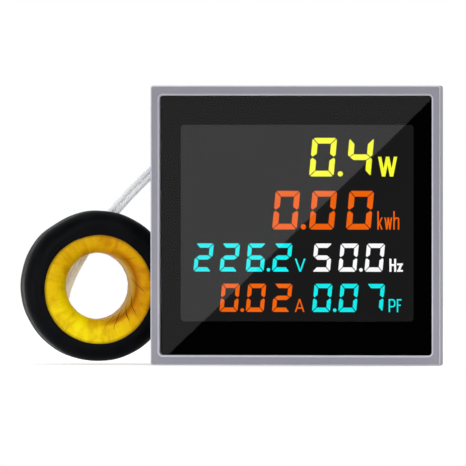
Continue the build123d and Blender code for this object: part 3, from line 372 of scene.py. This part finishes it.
def closed_skin(name, points, rows):
    """Smooth closed mesh over rows of points that follow each other once round the ring."""
    count = len(points) // rows
    faces = []
    for i in range(rows):
        for j in range(count):
            here = i * count
            ahead = (i + 1) % rows * count
            side = (j + 1) % count
            faces.append((here + j, ahead + j, ahead + side, here + side))
    mesh = bpy.data.meshes.new(name)
    mesh.from_pydata(points, [], faces)
    shape = bmesh.new()
    shape.from_mesh(mesh)
    bmesh.ops.recalc_face_normals(shape, faces=shape.faces)
    shape.to_mesh(mesh)
    shape.free()
    for face in mesh.polygons:
        face.use_smooth = True
    return mesh


def rounded_section(inner, outer, width, corner, step):
    """Closed ring section as (radius, depth), starting at the middle of the bore wall."""
    half = width / 2
    section = []
    straight = [
        ((inner, 0), (inner, half - corner)),
        ((inner + corner, half), (outer - corner, half)),
        ((outer, half - corner), (outer, corner - half)),
        ((outer - corner, -half), (inner + corner, -half)),
        ((inner, corner - half), (inner, 0)),
    ]
    centres = [
        (inner + corner, half - corner, 180), (outer - corner, half - corner, 90),
        (outer - corner, corner - half, 0), (inner + corner, corner - half, -90),
    ]
    for k, (start, end) in enumerate(straight):
        count = max(1, round(math.dist(start, end) / step))
        for j in range(count):
            share = j / count
            radius = start[0] + (end[0] - start[0]) * share
            depth = start[1] + (end[1] - start[1]) * share
            section.append((radius, depth))
        if k < len(centres):
            radius, depth, begin = centres[k]
            count = max(4, round(corner * math.pi / 2 / step))
            for j in range(count):
                angle = math.radians(begin - 90 * j / count)
                section.append((radius + corner * math.cos(angle), depth + corner * math.sin(angle)))
    return section


# Tape: overlapping turns of yellow film round the ring, each edge lying on the turn before
def tape_form():
    """Smooth ring of tape, with its turn and its place round the section kept on the points."""
    section = rounded_section(BORE_RADIUS, TAPE_OUTER, TAPE_WIDTH, TAPE_CORNER, TAPE_STEP)
    count = len(section)
    points = []
    turn_share = []
    wrap_share = []
    for i in range(TAPE_ROWS):
        for j, (radius, depth) in enumerate(section):
            points.append(ring_point(2 * math.pi * (i / TAPE_ROWS + 0.5), radius, depth))
            turn_share.append(i / TAPE_ROWS)
            wrap_share.append(j / count)
    mesh = closed_skin("tape_base", points, TAPE_ROWS)
    for label, values in (("turn", turn_share), ("wrap", wrap_share)):
        layer = mesh.attributes.new(label, "FLOAT", "POINT")
        layer.data.foreach_set("value", values)
    return mesh


def tape_folds():
    """Geometry tree that lifts each turn's leading edge and keeps its creases for the finish, which paints
    shade along them.
    """
    tree = bpy.data.node_groups.new("tape_folds", "GeometryNodeTree")
    tree.interface.new_socket("Geometry", in_out="INPUT", socket_type="NodeSocketGeometry")
    for label, value in TAPE_SETTINGS.items():
        socket = tree.interface.new_socket(label, in_out="INPUT", socket_type="NodeSocketFloat")
        socket.default_value = value
    tree.interface.new_socket("Geometry", in_out="OUTPUT", socket_type="NodeSocketGeometry")
    given = tree.nodes.new("NodeGroupInput").outputs
    out = tree.nodes.new("NodeGroupOutput")
    place = tree.nodes.new("GeometryNodeInputPosition").outputs[0]

    def read(label):
        named = wire(tree, "GeometryNodeInputNamedAttribute", {"Name": label}, data_type="FLOAT")
        return named.outputs["Attribute"]

    def calc(kind, *values):
        return maths(tree, kind, *values)

    def seeded_noise(scale, detail):
        return wire(tree, "ShaderNodeTexNoise", {
            "Vector": place, "W": given["Seed"], "Scale": scale, "Detail": detail,
        }, noise_dimensions="4D").outputs[0]

    def chance_of(turn_count):
        which = calc("FLOOR", calc("WRAP", turn_count, given["Wraps"], 0.0))
        seeded = calc("ADD", which, given["Seed"])
        return wire(tree, "ShaderNodeTexWhiteNoise", {"W": seeded}, noise_dimensions="1D").outputs["Value"]

    swing = calc("SINE", calc("MULTIPLY", read("wrap"), 2 * math.pi))
    slant = calc("MULTIPLY", swing, given["Slant"])
    wobble = calc("MULTIPLY", calc("SUBTRACT", seeded_noise(160, 2), 0.5), 1.6)
    count = calc("ADD", calc("ADD", calc("MULTIPLY", read("turn"), given["Wraps"]), slant), wobble)
    chance = chance_of(count)
    edge = calc("POWER", calc("FRACT", count), 2.2)
    height = calc("MULTIPLY", edge, calc("MULTIPLY_ADD", chance, 0.8, 0.2))
    rumple = calc("MULTIPLY", calc("SUBTRACT", seeded_noise(420, 3), 0.9), 0.5)
    drop = calc("ADD", calc("SUBTRACT", height, 1.0), rumple)
    lift = calc("MULTIPLY", drop, given["Fold"])
    normal = tree.nodes.new("GeometryNodeInputNormal").outputs[0]
    offset = wire(tree, "ShaderNodeVectorMath", {0: normal, "Scale": lift}, operation="SCALE").outputs[0]
    kept = given["Geometry"]
    for label, value in (
        ("wraps_laid", count),
        ("crease_shade_chance", chance_of(calc("ADD", count, 0.5))),
        ("tone", chance),
    ):
        kept = wire(tree, "GeometryNodeStoreNamedAttribute", {
            "Geometry": kept, "Name": label, "Value": value,
        }, data_type="FLOAT", domain="POINT").outputs[0]
    moved = wire(tree, "GeometryNodeSetPosition", {"Geometry": kept, "Offset": offset})
    whole = wire(tree, "GeometryNodeRealizeInstances", {"Geometry": moved.outputs[0]})
    dressed = wire(tree, "GeometryNodeSetMaterial", {"Geometry": whole.outputs[0], "Material": yellow_tape})
    tree.links.new(dressed.outputs[0], out.inputs[0])
    return tree


def ring_place(tree, place):
    """Share of the turn, radius, direction and flat place of a point in the ring's own plane."""
    offset = vector_maths(tree, "SUBTRACT", place, RING_CENTRE)["Vector"]
    right = vector_maths(tree, "DOT_PRODUCT", offset, RING_ACROSS)["Value"]
    up = vector_maths(tree, "DOT_PRODUCT", offset, RING_UP)["Value"]
    flat = wire(tree, "ShaderNodeCombineXYZ", {0: right, 1: up}).outputs[0]
    radius = vector_maths(tree, "LENGTH", flat)["Value"]
    heading = vector_maths(tree, "NORMALIZE", flat)["Vector"]
    share = ramp_between(tree, maths(tree, "ARCTAN2", up, right), -math.pi, math.pi)
    return share, radius, heading, flat


def tape_finish():
    """Yellow tape with painted light and shade: amber on the right and near the bore, lighter at the lower
    left, with painted shade lines at the creases where it turns into the bore.
    """
    finish, tree, shader, place = finish_in_place("yellow_tape")
    laid = wire(tree, "ShaderNodeAttribute", attribute_name="wraps_laid").outputs["Fac"]
    crease_shade_chance = wire(tree, "ShaderNodeAttribute", attribute_name="crease_shade_chance").outputs["Fac"]
    tone = wire(tree, "ShaderNodeAttribute", attribute_name="tone").outputs["Fac"]
    share, radius, heading, flat = ring_place(tree, place)

    def calc(kind, *values):
        return maths(tree, kind, *values)

    # Colour round the ring, from its left side by way of the bottom, the right and the top, with painted
    # light and shade: lighter yellow at the lower left, darker amber on the right and top
    painted_shade_near_bore = shades(tree, share, [
        (0.0, linear("e8c400")), (0.17, linear("fae000")), (0.28, linear("e8b800")), (0.4, linear("cc8600")),
        (0.5, linear("cc8400")), (0.61, linear("cc8800")), (0.73, linear("e0a608")), (1.0, linear("e8c400")),
    ])
    painted_shade_near_sleeve = shades(tree, share, [
        (0.0, linear("e8c004")), (0.17, linear("ffe60c")), (0.28, linear("fcdc08")), (0.4, linear("f0b000")),
        (0.5, linear("f4b000")), (0.61, linear("e8ac00")), (0.73, linear("e0a808")), (1.0, linear("e8c004")),
    ])
    # Painted shade: the colour near the bore is darker than near the sleeve, where the surface turns away
    # into the bore
    outward = ramp_between(tree, radius, 10.0 * MM, 11.8 * MM)
    body = blend_colours(tree, outward, painted_shade_near_bore, painted_shade_near_sleeve)

    # Streaks and clouds of thicker and thinner layers
    around = vector_maths(tree, "MULTIPLY", heading, (4, 4, 0))["Vector"]
    along = vector_maths(tree, "MULTIPLY", place, (60, 60, 60))["Vector"]
    streak = noise(tree, vector_maths(tree, "ADD", around, along)["Vector"], 2.2, 2)
    cloud = noise(tree, place, 290, 2)
    varied = calc("MULTIPLY_ADD", tone, 0.1, calc("MULTIPLY", streak, 0.6))
    varied = calc("MULTIPLY_ADD", cloud, 1.1, varied)
    thickness = shades(tree, varied, [
        (0.66, (0.84, 0.72, 0.5)), (0.86, (1, 0.97, 0.8)), (1.0, (1.05, 1.08, 1.0)),
    ])
    body = blend_colours(tree, 1.0, body, thickness, kind="MULTIPLY")

    # Stretched film in the bore, partly its own tan and partly painted shade, darkest where it turns in on
    # the right; and painted shade lines along the creases on the right where it turns in
    facing_right = vector_maths(tree, "DOT_PRODUCT", heading, (0.98, -0.17, 0))["Value"]
    right_side = ramp_between(tree, facing_right, 0.1, 0.6)
    in_bore = ramp_between(tree, radius, 8.5 * MM, 10.4 * MM)
    stretched_film_and_shade = shades(tree, in_bore, [
        (0.0, linear("cfa41c")), (0.3, linear("bc8a1a")), (0.55, linear("a26006")), (1.0, linear("cc8400")),
    ])
    near_bore = ramp_between(tree, radius, 10.8 * MM, 10.2 * MM)
    body = blend_colours(tree, calc("MULTIPLY", near_bore, right_side), body, stretched_film_and_shade)
    crease = calc("COSINE", calc("MULTIPLY", laid, 2 * math.pi))
    line = ramp_between(tree, crease, 0.93, 0.985)
    inward = ramp_between(tree, radius, 12.2 * MM, 10.4 * MM)
    deep = ramp_between(tree, crease_shade_chance, 0.3, 0.4)
    creased = calc("MULTIPLY", calc("MULTIPLY", inward, right_side), deep)
    crease_shade_share = ramp_between(tree, creased, 0.0, 1.0, 0.03, 1.0)
    # Painted shade: dark brown lines along the creases
    dark = calc("MULTIPLY", line, crease_shade_share)
    body = blend_colours(tree, dark, body, (*linear("4a2804"), 1))

    # Painted shadow along the sleeve's edge: the tape darkened to brown where the sleeve's lip shades it
    off_centre = vector_maths(tree, "SUBTRACT", flat, (*WINDOW_SHIFT, 0))["Vector"]
    reach = vector_maths(tree, "LENGTH", off_centre)["Value"]
    painted_sleeve_shadow = ramp_between(tree, reach, 13.3 * MM, 14.2 * MM, 0.0, 0.75)
    body = blend_colours(tree, painted_sleeve_shadow, body, (*linear("7a4c08"), 1))
    tree.links.new(body, shader.inputs["Base Color"])
    shader.inputs["Roughness"].default_value = 0.42
    shader.inputs["Specular IOR Level"].default_value = 0.06
    emboss(tree, shader, varied, 0.2, 0.25 * MM)
    return finish


yellow_tape = tape_finish()
tape_base = bpy.data.objects.new("tape_base", tape_form())
bpy.context.scene.collection.objects.link(tape_base)
folding = tape_base.modifiers.new("tape_folds", "NODES")
folding.node_group = tape_folds()
for socket in folding.node_group.interface.items_tree:
    if socket.name in TAPE_SETTINGS:
        folding[socket.identifier] = TAPE_SETTINGS[socket.name]
settled = tape_base.evaluated_get(bpy.context.evaluated_depsgraph_get())
tape_mesh = bpy.data.meshes.new_from_object(settled)
tape_mesh.name = "ring_tape"
tape_base.modifiers.remove(folding)
bpy.data.objects.remove(tape_base)
new_piece("ring_tape", tape_mesh, yellow_tape, ["ct_tape"])


# Sleeve: shrunk black tube round the ring's outside, its lips turned over both faces
def sleeve_form():
    """Closed skin whose window is a little off the ring's centre and whose outline is uneven."""
    half = SLEEVE_WIDTH / 2
    points = []
    for i in range(SLEEVE_ROWS):
        turn = 2 * math.pi * i / SLEEVE_ROWS
        away = WINDOW_SHIFT[0] * math.cos(turn) + WINDOW_SHIFT[1] * math.sin(turn)
        side = WINDOW_SHIFT[0] * math.sin(turn) - WINDOW_SHIFT[1] * math.cos(turn)
        edge = away + math.sqrt(WINDOW_RADIUS ** 2 - side ** 2)
        edge += 0.05 * MM * math.sin(5 * turn + 1.1) + 0.02 * MM * math.sin(13 * turn)
        sag = 0.03 * MM * (1 + math.sin(7 * turn + 0.6)) + 0.02 * MM * (1 + math.sin(17 * turn + 2.0))
        sag += SLEEVE_FLAT_DEPTH * max(0.0, math.cos(turn - SLEEVE_FLAT_AT)) ** 30

        # Front half of the outer skin: lip, face, corner and rim
        front = []
        for k in range(7):
            angle = math.radians(180 - 90 * k / 6)
            front.append((
                edge + SLEEVE_LIP + SLEEVE_LIP * math.cos(angle),
                half - SLEEVE_LIP + SLEEVE_LIP * math.sin(angle),
            ))
        for k in range(1, 6):
            run = SLEEVE_OUTER - SLEEVE_CORNER - edge - SLEEVE_LIP
            front.append((edge + SLEEVE_LIP + run * (k / 6), half))
        for k in range(13):
            angle = math.radians(90 - 90 * k / 12)
            front.append((
                SLEEVE_OUTER - SLEEVE_CORNER + SLEEVE_CORNER * math.cos(angle),
                half - SLEEVE_CORNER + SLEEVE_CORNER * math.sin(angle),
            ))
        for k in range(1, 4):
            front.append((SLEEVE_OUTER, (half - SLEEVE_CORNER) * (1 - k / 4)))
        back = [(radius, -depth) for radius, depth in reversed(front)]

        outer_skin = []
        for radius, depth in front + [(SLEEVE_OUTER, 0.0)] + back:
            pull = min(1.0, max(0.0, (radius - edge) / SLEEVE_SAG_RUN))
            ripple = 1 - 0.012 * math.sin(9 * turn + 0.4) * pull
            outer_skin.append((radius - sag * pull, depth * ripple))
        inner_skin = [
            (max(radius - SLEEVE_WALL * 1.2, edge + 0.1 * MM), depth * 0.955) for radius, depth in outer_skin
        ]
        points += [ring_point(turn, radius, depth) for radius, depth in outer_skin + inner_skin[::-1]]
    return closed_skin("ring_sleeve", points, SLEEVE_ROWS)


def sleeve_finish():
    """Shrunk black sleeve, satin, with faint rub marks and shallow wrinkles."""
    finish, tree, shader, place = finish_in_place("black_sleeve")
    rub = noise(tree, place, 220, 5)
    colours = shades(tree, rub, [(0.35, linear("06070a")), (0.7, linear("0d0e12"))])
    tree.links.new(colours, shader.inputs["Base Color"])
    tree.links.new(ramp_between(tree, rub, 0.3, 0.7, 0.4, 0.55), shader.inputs["Roughness"])
    shader.inputs["Specular IOR Level"].default_value = 0.04
    emboss(tree, shader, noise(tree, place, 150, 3), 0.4, 0.5 * MM)
    return finish


new_piece("ring_sleeve", sleeve_form(), sleeve_finish(), ["ct_sleeve"])
new_piece(
    "display_pane", display_pane(), finishes["cell_glass"],
    ["lcd_front_polariser", "lcd_front_glass"],
)


# Leads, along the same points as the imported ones
def in_metres(points):
    """Points given in mm, as vectors in metres."""
    return [Vector(point) * MM for point in points]


lead_exit = (
    RING_CENTRE - RING_ACROSS * LEAD_EXIT_ACROSS - RING_AXIAL * (TAPE_WIDTH / 2) - RING_UP * LEAD_EXIT_DOWN
)
pair_route = [lead_exit, lead_exit - RING_AXIAL * LEAD_EXIT_RUN] + in_metres((
    (-65.2, 23.6, -25.3), (-65.5, 25.4, -22.7), (-65.1, 26.2, -19.8), (-64.2, 26.5, -15.9),
    (-62.0, 26.7, -11.0), (-57.9, 27.0, -4.5), (-52.4, 27.6, 3.0), (-45.0, 28.6, 11.1),
    (-36.7, 29.4, 18.4), (-28.0, 30.1, 25.0), (-20.0, 30.6, 29.8),
))
upper_end = in_metres((
    (-13.6, 30.6, 33.3), (-8.3, 28.0, 34.2), (-5.0, 23.6, 34.1), (UPPER_X, 18.9, 32.7),
    (UPPER_X, 15.6, 29.8), (UPPER_X, FERRULE_Y, 26.2), (UPPER_X, FERRULE_Y, COLLAR_TOP),
))
lower_end = in_metres((
    (-14.6, 29.2, 31.4), (-12.1, 25.2, 32.1), (LOWER_X, 20.6, 31.6), (LOWER_X, 17.0, 30.2),
    (LOWER_X, 14.9, 27.6), (LOWER_X, FERRULE_Y, 24.9), (LOWER_X, FERRULE_Y, COLLAR_TOP),
))


def beside(route, shift):
    """Points of one lead of the pair, shifted to one side of the pair's centre line."""
    points = [point + RING_ACROSS * shift for point in route[:3]]
    for k in range(3, len(route)):
        heading = (route[k] - route[k - 1]).normalized()
        if k + 1 < len(route):
            heading += (route[k + 1] - route[k]).normalized()
        points.append(route[k] + Vector((heading.z, 0, -heading.x)).normalized() * shift)
    return points


def lead_finish():
    """Pale insulation with a faint cool cast and handling marks."""
    finish, tree, shader, place = finish_in_place("lead_insulation")
    marks = noise(tree, place, 300, 3)
    colours = shades(tree, marks, [(0.3, linear("eceff5")), (0.7, linear("f8fafd"))])
    tree.links.new(colours, shader.inputs["Base Color"])
    shader.inputs["Roughness"].default_value = 0.42
    shader.inputs["Subsurface Weight"].default_value = 0.7
    shader.inputs["Subsurface Radius"].default_value = (1, 1, 1)
    shader.inputs["Subsurface Scale"].default_value = 0.7 * MM
    emboss(tree, shader, marks, 0.05, 0.1 * MM)
    return finish


lead_white = lead_finish()


def lead(name, points, node):
    """One lead as a round curve through its route's control points."""
    curve = bpy.data.curves.new(name, "CURVE")
    curve.dimensions = "3D"
    curve.bevel_depth = LEAD_RADIUS
    curve.bevel_resolution = 6
    curve.resolution_u = 16
    curve.use_fill_caps = True
    spline = curve.splines.new("NURBS")
    spline.points.add(len(points) - 1)
    for spot, point in zip(spline.points, points):
        spot.co = (*point, 1)
    spline.order_u = 3
    spline.use_endpoint_u = True
    piece = new_piece(name, curve, lead_white, [node])


lead("lead_upper", beside(pair_route, -LEAD_SPACING / 2) + upper_end, "ct_lead_left")
lead("lead_lower", beside(pair_route, LEAD_SPACING / 2) + lower_end, "ct_lead_right")
for slot in nodes["ferrule_collars"].material_slots:
    slot.material = lead_white


# Studio: pale floor, white surround behind, dark room in front, soft lamps
def surround():
    """World that is white to the camera and behind the model, and dark in front of it."""
    world = bpy.data.worlds.new("surround")
    bpy.context.scene.world = world
    world.use_nodes = True
    tree = world.node_tree
    background = tree.nodes["Background"]
    heading = wire(tree, "ShaderNodeTexCoord").outputs["Generated"]
    depth = wire(tree, "ShaderNodeSeparateXYZ", {0: heading}).outputs["Y"]
    behind = ramp_between(tree, depth, -0.5, 0.1, 0.015, 1.0)
    path = wire(tree, "ShaderNodeLightPath").outputs
    strength = maths(tree, "MAXIMUM", path["Is Camera Ray"], behind)
    tree.links.new(strength, background.inputs["Strength"])
    background.inputs["Color"].default_value = (1, 1, 1, 1)


def studio_plate(name, corners, finish):
    """Four-cornered plate that belongs to the studio."""
    mesh = bpy.data.meshes.new(name)
    mesh.from_pydata(corners, [], [(0, 1, 2, 3)])
    mesh.materials.append(finish)
    plate = bpy.data.objects.new(name, mesh)
    bpy.context.scene.collection.objects.link(plate)
    return plate


def pale_floor():
    """Floor that shows white, and still takes a faint shadow."""
    finish, tree, shader = new_finish("pale_floor")
    shader.inputs["Base Color"].default_value = (0.9, 0.9, 0.9, 1)
    shader.inputs["Roughness"].default_value = 0.9
    shader.inputs["Specular IOR Level"].default_value = 0.0
    path = wire(tree, "ShaderNodeLightPath").outputs
    shown = maths(tree, "MAXIMUM", path["Is Camera Ray"], path["Is Glossy Ray"])
    shown = maths(tree, "MAXIMUM", shown, path["Is Transmission Ray"])
    shader.inputs["Emission Color"].default_value = (1, 1, 1, 1)
    tree.links.new(maths(tree, "MULTIPLY", shown, FLOOR_GLOW), shader.inputs["Emission Strength"])
    corners = [
        (-FLOOR_REACH, FLOOR_FRONT, FLOOR_Z), (FLOOR_REACH, FLOOR_FRONT, FLOOR_Z),
        (FLOOR_REACH, FLOOR_REACH, FLOOR_Z), (-FLOOR_REACH, FLOOR_REACH, FLOOR_Z),
    ]
    floor = studio_plate("floor", corners, finish)


def lamp(name, place, aim, size, power):
    """Square soft lamp turned to its aim."""
    light = bpy.data.lights.new(name, "AREA")
    light.shape = "SQUARE"
    light.size = size
    light.energy = power
    stand = bpy.data.objects.new(name, light)
    stand.location = place
    stand.rotation_mode = "QUATERNION"
    stand.rotation_quaternion = (Vector(aim) - Vector(place)).to_track_quat("-Z", "Y")
    bpy.context.scene.collection.objects.link(stand)


def grey_card():
    """Card in front on the left, whose reflection crosses the window."""
    lens_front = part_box("lens")[0].y
    mirrored = Vector((CAMERA_PLACE.x, 2 * lens_front - CAMERA_PLACE.y, CAMERA_PLACE.z))

    def on_card(x, z):
        """Point of the card that the camera sees at a place of the window."""
        through = Vector((x * MM, lens_front, z * MM)) - mirrored
        return mirrored + through * ((CARD_Y - mirrored.y) / through.y)

    edge_top = on_card(*CARD_TOP)
    edge_low = on_card(*CARD_LOW)
    along = (edge_top - edge_low).normalized()
    across = Vector((-along.z, 0, along.x))
    low_end = edge_low - along * CARD_PAST_LOW
    top_end = edge_top + along * CARD_PAST_TOP
    finish, _, shader = new_finish("grey_card")
    shader.inputs["Base Color"].default_value = (0, 0, 0, 1)
    shader.inputs["Specular IOR Level"].default_value = 0.0
    shader.inputs["Emission Color"].default_value = (1, 1, 1, 1)
    shader.inputs["Emission Strength"].default_value = CARD_GLOW
    corners = [low_end, top_end, top_end + across * CARD_WIDTH, low_end + across * CARD_WIDTH]
    card = studio_plate("grey_card", corners, finish)
    card.visible_camera = False
    card.visible_diffuse = False
    card.visible_shadow = False


def main_camera():
    """Camera of the photograph's view."""
    camera = bpy.data.objects.new("camera", bpy.data.cameras.new("camera"))
    camera.data.lens = VIEW_LENS
    camera.data.sensor_width = 36
    camera.data.clip_start = 1
    camera.data.clip_end = 20
    camera.location = CAMERA_PLACE
    camera.rotation_mode = "QUATERNION"
    side = Vector((0, 0, 1)).cross(TO_CAMERA).normalized()
    rise = TO_CAMERA.cross(side)
    camera.rotation_quaternion = Matrix((side, rise, TO_CAMERA)).transposed().to_quaternion()
    bpy.context.scene.collection.objects.link(camera)
    bpy.context.scene.camera = camera


bpy.context.scene.view_settings.view_transform = "Standard"
surround()
pale_floor()
for settings in LAMPS:
    lamp(*settings)
grey_card()
main_camera()
